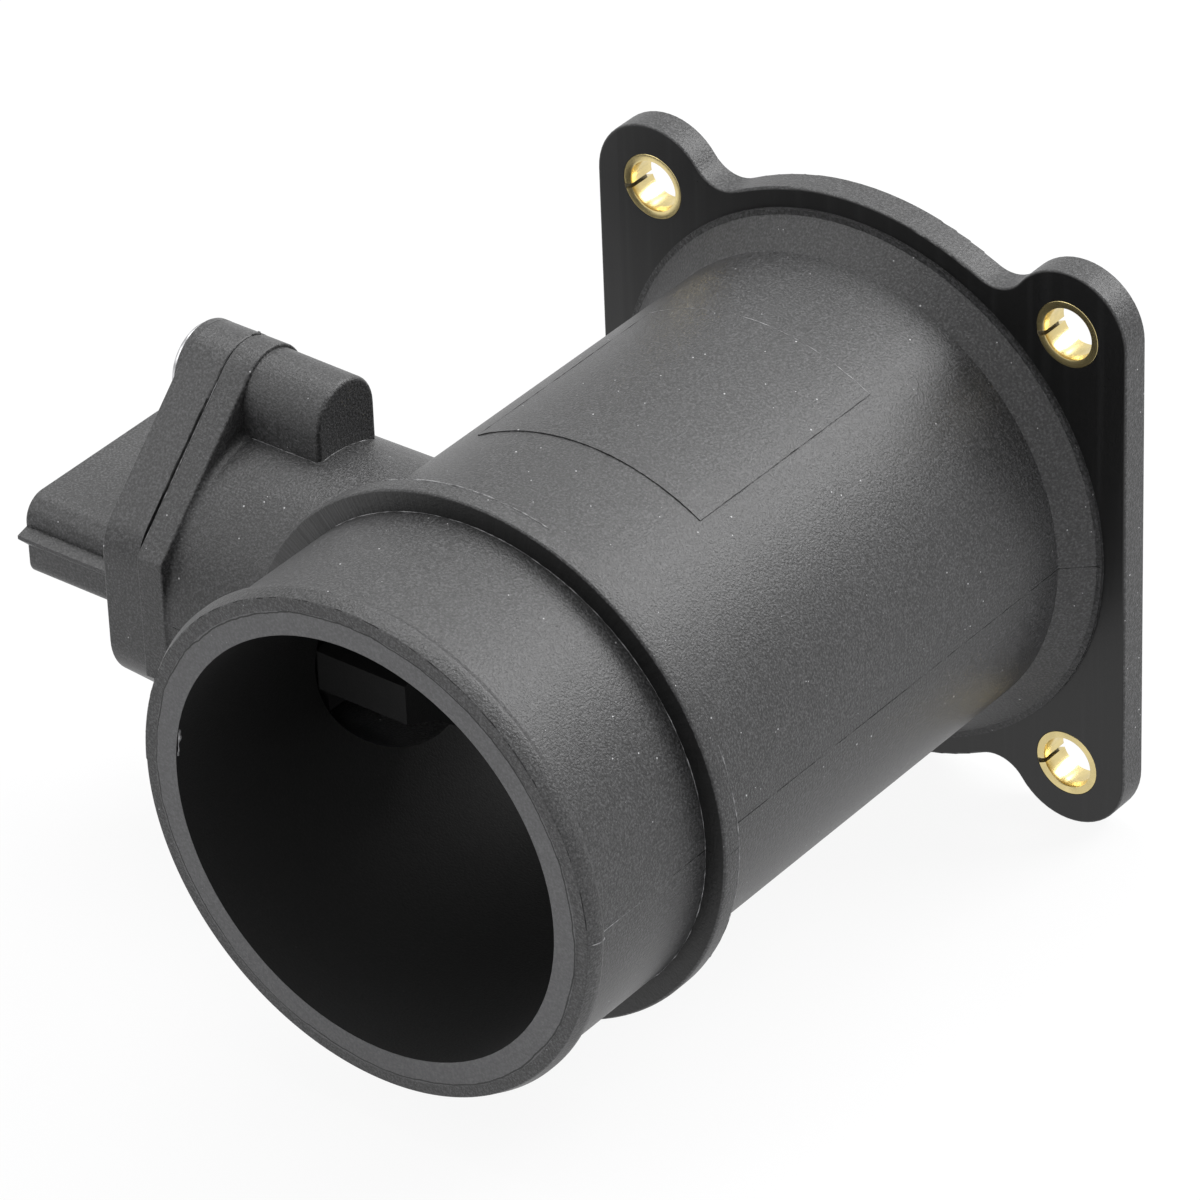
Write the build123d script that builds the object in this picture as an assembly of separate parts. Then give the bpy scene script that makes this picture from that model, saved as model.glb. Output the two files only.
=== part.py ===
from build123d import *
from math import acos, atan2, cos, hypot, sin, sqrt
import os

# Mass airflow sensor. Millimetres, +Z up. The duct axis is Y and the hose end points to -Y.
# The origin is the centre of the bolt pattern on the sealing face of the flange.

# Duct
bore_r = 30.0
tube_r = 34.55
spigot_r = 34.7
duct_length = 109.5

# Hose bead at the mouth
bead_height = 0.85
bead_crest = 1.8
bead_length = 3.8
mouth_face_width = 3.2
mouth_edge = 0.4
bead_r = spigot_r + bead_height

# Collar ring that stops the hose
collar_height = 3.2
collar_front_y = -84.3
collar_thickness = 1.6
collar_root_r = 0.5
collar_edge_r = 0.3
collar_r = tube_r + collar_height

# Square flange
bolt_pitch = 66.6
flange_thickness = 4.5
ear_r = 9.1
flange_disc_inset = 0.4
flange_fillet_r = 5.0
flange_edge_r = 0.35
cone_r = 38.3
cone_length = 3.34
step_height = 0.8
step_thickness = 0.5
step_r = cone_r + step_height
flange_disc_r = bolt_pitch / 2 + ear_r - flange_disc_inset

# Rolled bushes in the flange
bush_r = 4.8
bush_hole_r = 3.6
bush_slit = 0.35
bush_slit_angle = 196.0

# Neck on the side, its axis runs along X
neck_y = -64.7
neck_r = 19.85
neck_draft = 0.013
neck_depth = 26.0
neck_bore_r = 17.3
neck_bore_depth = 34.0
neck_lead_in = 0.9
neck_fillet_r = 1.0

# Diamond plate of the housing
joint_x = -56.9
housing_plate_thickness = 4.2
housing_plate_reach = 20.2
housing_plate_corner_z = 9.2
housing_ear_r = 6.45
plate_edge_r = 0.3
screw_y = -61.0
screw_z = 23.6
neck_start_x = joint_x + housing_plate_thickness

# Screw bosses under the diamond plate
boss_r = 5.95
boss_length = 12.4
boss_taper = 0.7
boss_root_z = 8.0
boss_edge_r = 0.7

# Diamond plate of the module
module_plate_thickness = 6.5
module_plate_reach = 19.55
module_plate_corner_z = 9.85
module_plate_corner_r = 7.5
module_ear_r = 6.5
joint_relief = 0.3
joint_relief_z = 16.0
outer_x = joint_x - module_plate_thickness

# Module screws
screw_r = 2.0
screw_hole_r = 2.3
screw_length = 20.0
screw_end_gap = 0.8
screw_tip = 0.5
screw_head_r = 5.9
screw_head_thickness = 1.6
screw_head_edge = 0.4
screw_socket = 4.5
screw_socket_depth = 1.1

# Connector shroud with its side rib
shroud_front_y = -78.45
shroud_width = 30.5
shroud_top_z = 5.2
shroud_bottom_z = -6.5
shroud_length = 18.8
shroud_wall = 1.3
shroud_top_r = 3.5
shroud_bottom_r = 2.0
socket_depth = 16.2
socket_r = 1.2
shroud_edge_r = 0.3
rib_reach = 1.9
rib_root_top_z = 1.25
rib_tip_top_z = 0.75
rib_tip_bottom_z = 0.2
rib_root_bottom_z = -1.7
shroud_end_x = outer_x - shroud_length
socket_floor_x = shroud_end_x + socket_depth
socket_y = shroud_front_y + shroud_width / 2
socket_z = (shroud_top_z + shroud_bottom_z) / 2
shroud_height = shroud_top_z - shroud_bottom_z

# Terminals
terminal_count = 5
terminal_pitch = 4.5
terminal_width = 2.8
terminal_thickness = 0.8
terminal_reach = 10.0
terminal_tip = 0.25
terminal_tail = 2.2

# Plug of the module in the neck, with its seal
plug_r = 17.1
plug_length = 10.0
plug_end_x = joint_x + plug_length
groove_x = -52.2
groove_width = 3.0
groove_r = 15.5
seal_width = 2.4
seal_round = 0.85

# Circuit body of the module in the neck
circuit_half_width = 15.0
circuit_half_height = 7.4
chamber_half_width = 12.6
chamber_start_x = -45.2
chamber_end_x = -31.8
chamber_r = 1.0
circuit_cover_ledge = 0.8
circuit_cover_thickness = 1.2
base_plate_thickness = 1.8
base_plate_gap = 0.3
board_thickness = 0.7
board_gap = 0.8
board_bottom_z = socket_z + terminal_thickness / 2
board_top_z = board_bottom_z + board_thickness
chamber_top_z = board_top_z + base_plate_thickness

# Blade with the bypass channel in the duct
blade_start_x = -30.0
blade_tip_x = -15.5
nose_reach = 16.8
nose_half_height = 2.9
shoulder_reach = 10.8
shoulder_half_height = 5.5
flat_reach = 7.3
flat_half_height = 8.4
lane_half_width = 5.6
lane_start_x = -29.2
lane_end_x = -17.0
lane_r = 0.8
divider_x = -23.3
divider_thickness = 1.2
divider_reach = 2.6
bypass_cover_thickness = 1.4
bypass_cover_ledge = 0.7
inlet_height = 4.0
inlet_length = 4.4
outlet_u = 3.0
outlet_width = 4.0
outlet_length = 3.6

# Sensing elements on their pins
pin_r = 0.3
pin_end_x = -26.3
pin_upper_tail_x = -33.8
pin_lower_tail_x = -34.8
pin_upper_z = board_bottom_z - pin_r
pin_spacing_z = 3.6
pin_lower_z = pin_upper_z - pin_spacing_z
element_back = 0.35
element_r = 0.4
element_cap_r = 0.25
element_cap_length = 0.35
hot_wire_u = -3.6
cold_wire_u = -0.6


def plane_x(x):
    """Plane across the neck axis: local x is Y, local y is Z, and it extrudes to +X."""
    return Plane(origin=(x, 0, 0), x_dir=(0, 1, 0), z_dir=(1, 0, 0))


def plane_y(y):
    """Plane across the duct axis: local x is X, local y is Z, and it extrudes to -Y."""
    return Plane(origin=(0, y, 0), x_dir=(1, 0, 0), z_dir=(0, -1, 0))


def block(x0, x1, y0, y1, z0, z1):
    """Box between two corners."""
    return Pos((x0 + x1) / 2, (y0 + y1) / 2, (z0 + z1) / 2) * Box(x1 - x0, y1 - y0, z1 - z0)


def slab(x0, x1, half_width, z0, z1, corner_r):
    """Plate on the neck axis with rounded corners, between two heights."""
    outline = RectangleRounded(x1 - x0, 2 * half_width, corner_r)
    return extrude(Pos((x0 + x1) / 2, neck_y, z0) * outline, z1 - z0)


def rod_x(radius, x0, x1, y, z):
    """Round rod along X."""
    return extrude(plane_x(x0) * Pos(y, z) * Circle(radius), x1 - x0)


def ring_on_neck(radius, x0, x1):
    """Disc on the neck axis."""
    return rod_x(radius, x0, x1, neck_y, 0)


def tangent_point(corner, centre, radius, side):
    """Point where a line from the corner touches the circle."""
    run = corner[0] - centre[0]
    rise = corner[1] - centre[1]
    angle = atan2(rise, run) + side * acos(radius / hypot(run, rise))
    return (centre[0] + radius * cos(angle), centre[1] + radius * sin(angle))


def diamond(reach, corner_z, radius):
    """Outline of a two-eared plate: flat ends, slopes tangent to the screw ears."""
    ear = (screw_y, screw_z)
    front = (neck_y - reach, corner_z)
    rear = (neck_y + reach, corner_z)
    upper = [front, tangent_point(front, ear, radius, -1), tangent_point(rear, ear, radius, 1), rear]
    lower = [(y, -z) for y, z in reversed(upper)]
    outline = make_face(Polyline(*upper, *lower, close=True))
    outline += Pos(screw_y, screw_z) * Circle(radius)
    outline += Pos(screw_y, -screw_z) * Circle(radius)
    return outline


def at_corners(outline, reach):
    """Vertices of a diamond that are not on its ears."""
    return [v for v in outline.vertices() if abs(abs(v.X - neck_y) - reach) < 0.01]


def duct():
    """Solid of revolution with bead, spigot, collar ring, cone and step."""
    mouth_y = -duct_length
    front_y = -flange_thickness
    step_y = front_y - step_thickness
    collar_rear_y = collar_front_y + collar_thickness
    profile = make_face(
        Polyline(
            (0, mouth_y),
            (bore_r + mouth_face_width, mouth_y),
            (bead_r - mouth_edge, mouth_y + mouth_edge),
            (bead_r, mouth_y + bead_crest),
            (spigot_r, mouth_y + bead_length),
            (spigot_r, collar_front_y),
            (collar_r, collar_front_y),
            (collar_r, collar_rear_y),
            (tube_r, collar_rear_y),
            (tube_r, step_y - cone_length),
            (cone_r, step_y),
            (step_r, step_y),
            (step_r, 0),
            (0, 0),
            close=True,
        )
    )
    collar = [v for v in profile.vertices() if collar_front_y - 0.01 < v.Y < collar_rear_y + 0.01]
    profile = fillet([v for v in collar if v.X < collar_r - 0.01], collar_root_r)
    rim = [v for v in profile.vertices() if abs(v.X - collar_r) < 0.01]
    return revolve(fillet(rim, collar_edge_r), Axis.Y)


def ear_web():
    """Web between the disc and the upper right ear, with the hollow that is tangent to both."""
    ear_distance = hypot(bolt_pitch, bolt_pitch) / 2
    to_disc = flange_disc_r + flange_fillet_r
    to_ear = ear_r + flange_fillet_r
    along = (to_disc**2 - to_ear**2 + ear_distance**2) / (2 * ear_distance)
    across = sqrt(to_disc**2 - along**2)
    web = make_face(Polyline((0, 0), (ear_distance, 0), (along, across), close=True))
    return Rot(0, 0, 45) * (web - Pos(along, across) * Circle(flange_fillet_r))


def flange():
    """Square flange: a disc with four ears."""
    half = bolt_pitch / 2
    outline = Circle(flange_disc_r)
    for x in (-half, half):
        outline += Pos(x, 0) * SlotCenterToCenter(bolt_pitch, 2 * ear_r, rotation=90)
    webs = ear_web() + mirror(ear_web(), Plane.YZ)
    outline += webs + mirror(webs, Plane.XZ)
    plate = extrude(plane_y(0) * outline, flange_thickness)
    plate = fillet(plate.edges().filter_by(Plane.XZ), flange_edge_r)
    for x in (-half, half):
        for z in (-half, half):
            plate -= extrude(plane_y(0) * Pos(x, z) * Circle(bush_r), flange_thickness)
    return plate


def neck():
    """Drafted neck with the diamond plate of the housing on its end."""
    wall = plane_x(neck_start_x) * Pos(neck_y, 0) * Cone(
        neck_r,
        neck_r + neck_draft * neck_depth,
        neck_depth,
        align=(Align.CENTER, Align.CENTER, Align.MIN),
    )
    outline = diamond(housing_plate_reach, housing_plate_corner_z, housing_ear_r)
    plate = extrude(plane_x(joint_x) * outline, housing_plate_thickness)
    body = wall + fillet(plate.edges().filter_by(Plane.YZ), plate_edge_r)
    root = [
        e
        for e in body.edges().filter_by(GeomType.CIRCLE)
        if abs(e.center().X - neck_start_x) < 0.01 and abs(e.radius - neck_r) < 0.01
    ]
    return fillet(root, neck_fillet_r)


def screw_bosses():
    """Two bosses that carry the screws, joined to the neck by their webs."""
    web = Pos(screw_y, (boss_root_z + screw_z) / 2) * Rectangle(2 * boss_r, screw_z - boss_root_z)
    outline = web + Pos(screw_y, screw_z) * Circle(boss_r)
    boss = extrude(plane_x(neck_start_x) * outline, boss_length, taper=boss_taper)
    boss = fillet(boss.faces().sort_by(Axis.X)[-1].edges(), boss_edge_r)
    return boss + mirror(boss, Plane.XY)


def tube_housing():
    """Housing of the sensor, one moulding."""
    body = duct() + neck() + screw_bosses()
    body += flange()
    body -= extrude(plane_y(0) * Circle(bore_r), duct_length)
    body -= ring_on_neck(neck_bore_r, joint_x, joint_x + neck_bore_depth)
    body -= plane_x(joint_x) * Pos(neck_y, 0) * Cone(
        neck_bore_r + neck_lead_in,
        neck_bore_r,
        neck_lead_in,
        align=(Align.CENTER, Align.CENTER, Align.MIN),
    )
    hole_end_x = outer_x + screw_length + screw_end_gap
    for z in (-screw_z, screw_z):
        body -= rod_x(screw_r, joint_x, hole_end_x, screw_y, z)
    return body


def flange_bush(x, z, turn):
    """Rolled bush with its open seam."""
    ring = Circle(bush_r) - Circle(bush_hole_r)
    ring -= Rot(0, 0, turn) * Pos(bush_r, 0) * Rectangle(2 * bush_r, bush_slit)
    return extrude(plane_y(0) * Pos(x, z) * ring, flange_thickness)


def connector_shroud():
    """Open shroud round the terminals, with a guide rib on its front side."""
    outline = Pos(socket_y, socket_z) * Rectangle(shroud_width, shroud_height)
    outline = fillet(outline.vertices().group_by(Axis.Y)[-1], shroud_top_r)
    outline = fillet(outline.vertices().group_by(Axis.Y)[0], shroud_bottom_r)
    outline += make_face(
        Polyline(
            (shroud_front_y, rib_root_top_z),
            (shroud_front_y - rib_reach, rib_tip_top_z),
            (shroud_front_y - rib_reach, rib_tip_bottom_z),
            (shroud_front_y, rib_root_bottom_z),
            (shroud_front_y + shroud_wall / 2, rib_root_bottom_z),
            (shroud_front_y + shroud_wall / 2, rib_root_top_z),
            close=True,
        )
    )
    body = extrude(plane_x(shroud_end_x) * outline, shroud_length)
    body = fillet(body.faces().sort_by(Axis.X)[0].edges(), shroud_edge_r)
    inside = RectangleRounded(
        shroud_width - 2 * shroud_wall,
        shroud_height - 2 * shroud_wall,
        socket_r,
    )
    return body - extrude(plane_x(shroud_end_x) * Pos(socket_y, socket_z) * inside, socket_depth)


def module_plate():
    """Outer diamond plate, relieved between the ears, with its screw holes."""
    outline = diamond(module_plate_reach, module_plate_corner_z, module_ear_r)
    outline = fillet(at_corners(outline, module_plate_reach), module_plate_corner_r)
    plate = extrude(plane_x(outer_x) * outline, module_plate_thickness)
    plate = fillet(plate.edges().filter_by(Plane.YZ), plate_edge_r)
    plate -= block(
        joint_x - joint_relief,
        joint_x,
        neck_y - 2 * module_plate_reach,
        neck_y + 2 * module_plate_reach,
        -joint_relief_z,
        joint_relief_z,
    )
    for z in (-screw_z, screw_z):
        plate -= rod_x(screw_hole_r, outer_x, joint_x, screw_y, z)
    return plate


def blade():
    """Blade in the air stream, a flattened hexagon with a narrow nose on both sides."""
    quarter = [
        (nose_reach, nose_half_height),
        (shoulder_reach, shoulder_half_height),
        (flat_reach, flat_half_height),
    ]
    top = quarter + [(-u, z) for u, z in reversed(quarter)]
    points = top + [(u, -z) for u, z in reversed(top)]
    outline = make_face(Polyline(*[(neck_y + u, z) for u, z in points], close=True))
    return extrude(plane_x(blade_start_x) * outline, blade_tip_x - blade_start_x)


def bypass_channel():
    """Channel from the inlet in the nose round the divider to the outlet lane."""
    cover_z = -flat_half_height + bypass_cover_thickness
    lanes = slab(lane_start_x, lane_end_x, lane_half_width, cover_z, chamber_top_z, lane_r)
    lanes -= block(
        divider_x - divider_thickness / 2,
        divider_x + divider_thickness / 2,
        neck_y - divider_reach,
        neck_y + lane_half_width,
        cover_z,
        chamber_top_z,
    )
    inlet_x = (divider_x + divider_thickness / 2 + lane_end_x) / 2
    inlet = block(
        inlet_x - inlet_length / 2,
        inlet_x + inlet_length / 2,
        neck_y + lane_half_width - lane_r,
        neck_y + nose_reach,
        -inlet_height / 2,
        inlet_height / 2,
    )
    return lanes + inlet


def bypass_seat():
    """Seat of the bypass lid, as wide as the lid."""
    return slab(
        lane_start_x - bypass_cover_ledge,
        lane_end_x + bypass_cover_ledge,
        lane_half_width + bypass_cover_ledge,
        -flat_half_height,
        -flat_half_height + bypass_cover_thickness,
        lane_r,
    )


def bypass_cover():
    """Lid of the bypass channel with the outlet window."""
    outlet_x = (lane_start_x + divider_x - divider_thickness / 2) / 2
    return bypass_seat() - block(
        outlet_x - outlet_length / 2,
        outlet_x + outlet_length / 2,
        neck_y + outlet_u - outlet_width / 2,
        neck_y + outlet_u + outlet_width / 2,
        -flat_half_height,
        -flat_half_height + bypass_cover_thickness,
    )


def circuit_cover():
    """Lid of the circuit chamber."""
    return slab(
        chamber_start_x - circuit_cover_ledge,
        chamber_end_x + circuit_cover_ledge,
        chamber_half_width + circuit_cover_ledge,
        -circuit_half_height,
        -circuit_half_height + circuit_cover_thickness,
        chamber_r,
    )


def circuit_chamber():
    """Room for the base plate and the board, open towards the lid."""
    return slab(
        chamber_start_x,
        chamber_end_x,
        chamber_half_width,
        -circuit_half_height + circuit_cover_thickness,
        chamber_top_z,
        chamber_r,
    )


def base_plate():
    """Aluminium plate behind the circuit board."""
    return slab(
        chamber_start_x + base_plate_gap,
        chamber_end_x - base_plate_gap,
        chamber_half_width - base_plate_gap,
        board_top_z,
        chamber_top_z,
        chamber_r,
    )


def circuit_board():
    """Ceramic board of the circuit."""
    return slab(
        chamber_start_x + board_gap,
        chamber_end_x - board_gap,
        chamber_half_width - board_gap,
        board_bottom_z,
        board_top_z,
        chamber_r / 2,
    )


def terminal(index):
    """Flat terminal from the socket into the circuit chamber."""
    y = socket_y + (index - (terminal_count - 1) / 2) * terminal_pitch
    tip_x = socket_floor_x - terminal_reach
    blade_body = block(
        tip_x,
        chamber_start_x + terminal_tail,
        y - terminal_width / 2,
        y + terminal_width / 2,
        socket_z - terminal_thickness / 2,
        socket_z + terminal_thickness / 2,
    )
    return chamfer(blade_body.faces().sort_by(Axis.X)[0].edges(), terminal_tip)


def sensor_pin_upper(u):
    """Straight pin from the board into the outlet lane."""
    return rod_x(pin_r, pin_upper_tail_x, pin_end_x, neck_y + u, pin_upper_z)


def sensor_pin_lower(u):
    """Bent pin: its leg rises to the board in the circuit chamber."""
    leg = Pos(pin_lower_tail_x, neck_y + u, pin_lower_z) * Cylinder(
        pin_r,
        board_bottom_z - pin_lower_z,
        align=(Align.CENTER, Align.CENTER, Align.MIN),
    )
    elbow = Pos(pin_lower_tail_x, neck_y + u, pin_lower_z) * Sphere(pin_r)
    return rod_x(pin_r, pin_lower_tail_x, pin_end_x, neck_y + u, pin_lower_z) + leg + elbow


def wire_element(u):
    """Sensing bobbin between the upper and the lower pin."""
    top_z = pin_upper_z - pin_r
    bottom_z = pin_lower_z + pin_r
    profile = make_face(
        Polyline(
            (0, bottom_z),
            (element_cap_r, bottom_z),
            (element_cap_r, bottom_z + element_cap_length),
            (element_r, bottom_z + element_cap_length),
            (element_r, top_z - element_cap_length),
            (element_cap_r, top_z - element_cap_length),
            (element_cap_r, top_z),
            (0, top_z),
            close=True,
        )
    )
    body = revolve(Plane.XZ * profile, Axis.Z)
    return Pos(pin_end_x - element_back, neck_y + u, 0) * body


def module_o_ring():
    """Seal pressed between the groove of the plug and the neck bore."""
    section = Pos(groove_x, (groove_r + neck_bore_r) / 2) * RectangleRounded(
        seal_width,
        neck_bore_r - groove_r,
        seal_round,
    )
    return Pos(0, neck_y, 0) * revolve(section, Axis.X)


def module_housing():
    """Moulding of the plug-in module."""
    body = module_plate() + connector_shroud()
    body += ring_on_neck(plug_r, joint_x - joint_relief, plug_end_x)
    body += block(
        plug_end_x,
        blade_start_x,
        neck_y - circuit_half_width,
        neck_y + circuit_half_width,
        -circuit_half_height,
        circuit_half_height,
    )
    body += blade()
    groove_start_x = groove_x - groove_width / 2
    groove_end_x = groove_x + groove_width / 2
    body -= ring_on_neck(plug_r, groove_start_x, groove_end_x) - ring_on_neck(
        groove_r, groove_start_x, groove_end_x
    )
    body -= circuit_chamber() + circuit_cover()
    body -= bypass_channel() + bypass_seat()
    for index in range(terminal_count):
        body -= terminal(index)
    for u in (hot_wire_u, cold_wire_u):
        body -= sensor_pin_upper(u)
        body -= sensor_pin_lower(u)
    return body


def module_screw(z):
    """Screw with a flat head and a socket, seated on the ear of the module."""
    head = rod_x(screw_head_r, outer_x - screw_head_thickness, outer_x, screw_y, z)
    head = fillet(head.faces().sort_by(Axis.X)[0].edges(), screw_head_edge)
    recess = RegularPolygon(screw_socket / 2, 6, major_radius=False)
    socket = extrude(
        plane_x(outer_x - screw_head_thickness) * Pos(screw_y, z) * recess,
        screw_socket_depth,
    )
    shank = rod_x(screw_r, outer_x, outer_x + screw_length, screw_y, z)
    shank = chamfer(shank.faces().sort_by(Axis.X)[-1].edges(), screw_tip)
    return head - socket + shank


half_pitch = bolt_pitch / 2
nodes = {
    "tube_housing": tube_housing(),
    "flange_bush_upper_left": flange_bush(-half_pitch, half_pitch, bush_slit_angle),
    "flange_bush_upper_right": flange_bush(half_pitch, half_pitch, bush_slit_angle),
    "flange_bush_lower_left": flange_bush(-half_pitch, -half_pitch, bush_slit_angle),
    "flange_bush_lower_right": flange_bush(half_pitch, -half_pitch, bush_slit_angle),
    "module_housing": module_housing(),
    "module_o_ring": module_o_ring(),
    "module_screw_upper": module_screw(screw_z),
    "module_screw_lower": module_screw(-screw_z),
    "base_plate": base_plate(),
    "circuit_board": circuit_board(),
    "circuit_cover": circuit_cover(),
    "bypass_cover": bypass_cover(),
    "sensor_pin_1": sensor_pin_upper(hot_wire_u),
    "sensor_pin_2": sensor_pin_lower(hot_wire_u),
    "sensor_pin_3": sensor_pin_upper(cold_wire_u),
    "sensor_pin_4": sensor_pin_lower(cold_wire_u),
    "hot_wire_element": wire_element(hot_wire_u),
    "cold_wire_element": wire_element(cold_wire_u),
}
for index in range(terminal_count):
    nodes[f"terminal_{index + 1}"] = terminal(index)

os.makedirs("parts", exist_ok=True)
for name, shape in nodes.items():
    export_step(shape, f"parts/{name}.step")
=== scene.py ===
import math

import bpy
from mathutils import Matrix, Vector


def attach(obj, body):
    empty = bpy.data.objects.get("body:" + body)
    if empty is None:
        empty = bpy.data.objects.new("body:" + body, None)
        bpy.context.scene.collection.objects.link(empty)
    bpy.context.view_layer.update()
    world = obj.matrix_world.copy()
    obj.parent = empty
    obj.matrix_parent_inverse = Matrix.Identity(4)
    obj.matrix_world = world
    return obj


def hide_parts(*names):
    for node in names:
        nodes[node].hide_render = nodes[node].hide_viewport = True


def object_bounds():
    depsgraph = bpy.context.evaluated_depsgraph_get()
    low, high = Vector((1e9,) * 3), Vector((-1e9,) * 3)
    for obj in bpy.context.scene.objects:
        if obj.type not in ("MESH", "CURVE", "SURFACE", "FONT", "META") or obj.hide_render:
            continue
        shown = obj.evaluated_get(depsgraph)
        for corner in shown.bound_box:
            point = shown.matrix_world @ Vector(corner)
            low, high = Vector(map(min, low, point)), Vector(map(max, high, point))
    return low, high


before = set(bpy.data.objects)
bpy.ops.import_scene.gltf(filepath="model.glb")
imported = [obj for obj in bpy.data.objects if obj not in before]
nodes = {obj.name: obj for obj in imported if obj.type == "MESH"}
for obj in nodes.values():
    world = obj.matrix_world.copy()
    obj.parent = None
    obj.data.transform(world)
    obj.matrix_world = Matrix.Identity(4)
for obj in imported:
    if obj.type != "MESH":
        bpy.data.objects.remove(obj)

cad_low, cad_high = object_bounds()

MM = 0.001
DUCT_MIDDLE = (0, -0.05, 0)
UNIT_CIRCLE_MM = 6283.0
WHITE = (1.0, 1.0, 1.0, 1.0)

# Sizes and places on the part in millimetres, as the frame has them
BORE_R = 30.0
FLANGE_FRONT_Y = -4.5
BOLT_HALF = 33.3
BUSH_R = 4.8
BUSH_BORE_R = 3.6
MOUTH_Y = -109.5
TUBE_R = 34.55
SPIGOT_R = 34.7
COLLAR_R = 37.75
CONE_START_Y = -8.34
CONE_END_Y = -5.0
CONE_R = 38.3
STEP_R = 39.1
NECK_Y = -64.7
NECK_R = 19.85
NECK_START_X = -52.7
JOINT_X = -56.9
OUTER_X = -63.4
SCREW_Y = -61.0
SCREW_Z = 23.6
SCREW_HEAD_R = 5.9
EAR_R = 6.5
BOSS_R = 5.95
BOSS_END_X = -40.3
PLATE_CORNER = (-84.25, 9.85)
PLATE_TANGENT = (-65.56, 28.23)
BLADE_START_X = -33.0

# Finer details, which only the looks show
BUSH_SLIT = 0.55
BUSH_SLIT_ANGLE = 196.0
MOUTH_EDGE_R = 33.05
MOUTH_EDGE_WIDTH = 0.2
BEAD_FRONT_R = 34.95
BEAD_CREST_R = 35.62
BEAD_REAR_Y = -106.45
UPPER_HALF_OFFSET = 0.2
COLLAR_RIM_R = COLLAR_R + 0.03
COLLAR_FRONT_Y = -85.05
COLLAR_REAR_Y = -82.2
# x over which the collar's front face goes from painted shade on the right to painted light on the left
SHADE_TO_LIGHT_X = (-4.0, -22.0)
FLANGE_LEFT_STRIP_X = -39.0
PAD_HALF_ANGLE = math.degrees(math.asin(17.6 / TUBE_R))
PAD_FRONT_Y = -62.0
PAD_REAR_Y = -26.0
PAD_HEIGHT = 0.1
SEAM_LENGTH = 8
EAR_RIM_HEIGHT = 0.7
GAP_END = 0.82

# Fineness of curves and textures
FULL_TURN_POINTS = 192
PART_TURN_POINTS = 97
WANDER_PER_METRE = 900.0
SWELL_PER_METRE = 420.0
WINDING_SCALE = 900.0
SCRATCH_DEPTH = 0.004


# Node trees


class Wire:
    """An output socket that takes arithmetic, written as Math nodes."""

    def __init__(self, maker, socket):
        self.maker = maker
        self.socket = socket

    def calc(self, operation, first, second):
        return self.maker.add("ShaderNodeMath", {"operation": operation}, {0: first, 1: second})

    def __add__(self, other):
        return self.calc("ADD", self, other)

    __radd__ = __add__

    def __mul__(self, other):
        return self.calc("MULTIPLY", self, other)

    __rmul__ = __mul__

    def __sub__(self, other):
        return self.calc("SUBTRACT", self, other)

    def __rsub__(self, other):
        return self.calc("SUBTRACT", other, self)

    def __truediv__(self, other):
        return self.calc("DIVIDE", self, other)

    def __rtruediv__(self, other):
        return self.calc("DIVIDE", other, self)

    def __gt__(self, other):
        return self.calc("GREATER_THAN", self, other)

    def __lt__(self, other):
        return self.calc("LESS_THAN", self, other)

    def power(self, exponent):
        return self.calc("POWER", self, exponent)

    def ramp(self, low, high):
        """0 at low and 1 at high, clamped between them."""
        inputs = {"Value": self, "From Min": low, "From Max": high}
        return self.maker.add("ShaderNodeMapRange", {"clamp": True}, inputs)


class Maker:
    """A node tree in the making: add is the one way to put a node in it."""

    def __init__(self, tree):
        self.tree = tree
        tree.nodes.clear()

    def add(self, kind, settings=None, inputs=None, output=0):
        """Adds a node: its settings first, then a value or a wire for each input."""
        node = self.tree.nodes.new(kind)
        for key, value in (settings or {}).items():
            setattr(node, key, value)
        for key, value in (inputs or {}).items():
            if isinstance(value, Wire):
                self.tree.links.new(value.socket, node.inputs[key])
            else:
                node.inputs[key].default_value = value
        return node if output is None else Wire(self, node.outputs[output])

    def seen(self):
        """1 for rays of the camera and for rays that a shiny or clear surface sends on."""
        path = self.add("ShaderNodeLightPath", output=None)
        camera_ray, glossy, clear = (
            Wire(self, path.outputs[f"Is {kind} Ray"]) for kind in ("Camera", "Glossy", "Transmission")
        )
        return camera_ray + glossy + clear


# Materials


def grey(value):
    """Neutral colour, a touch cool."""
    return (value, value, value * 1.02, 1.0)


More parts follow.
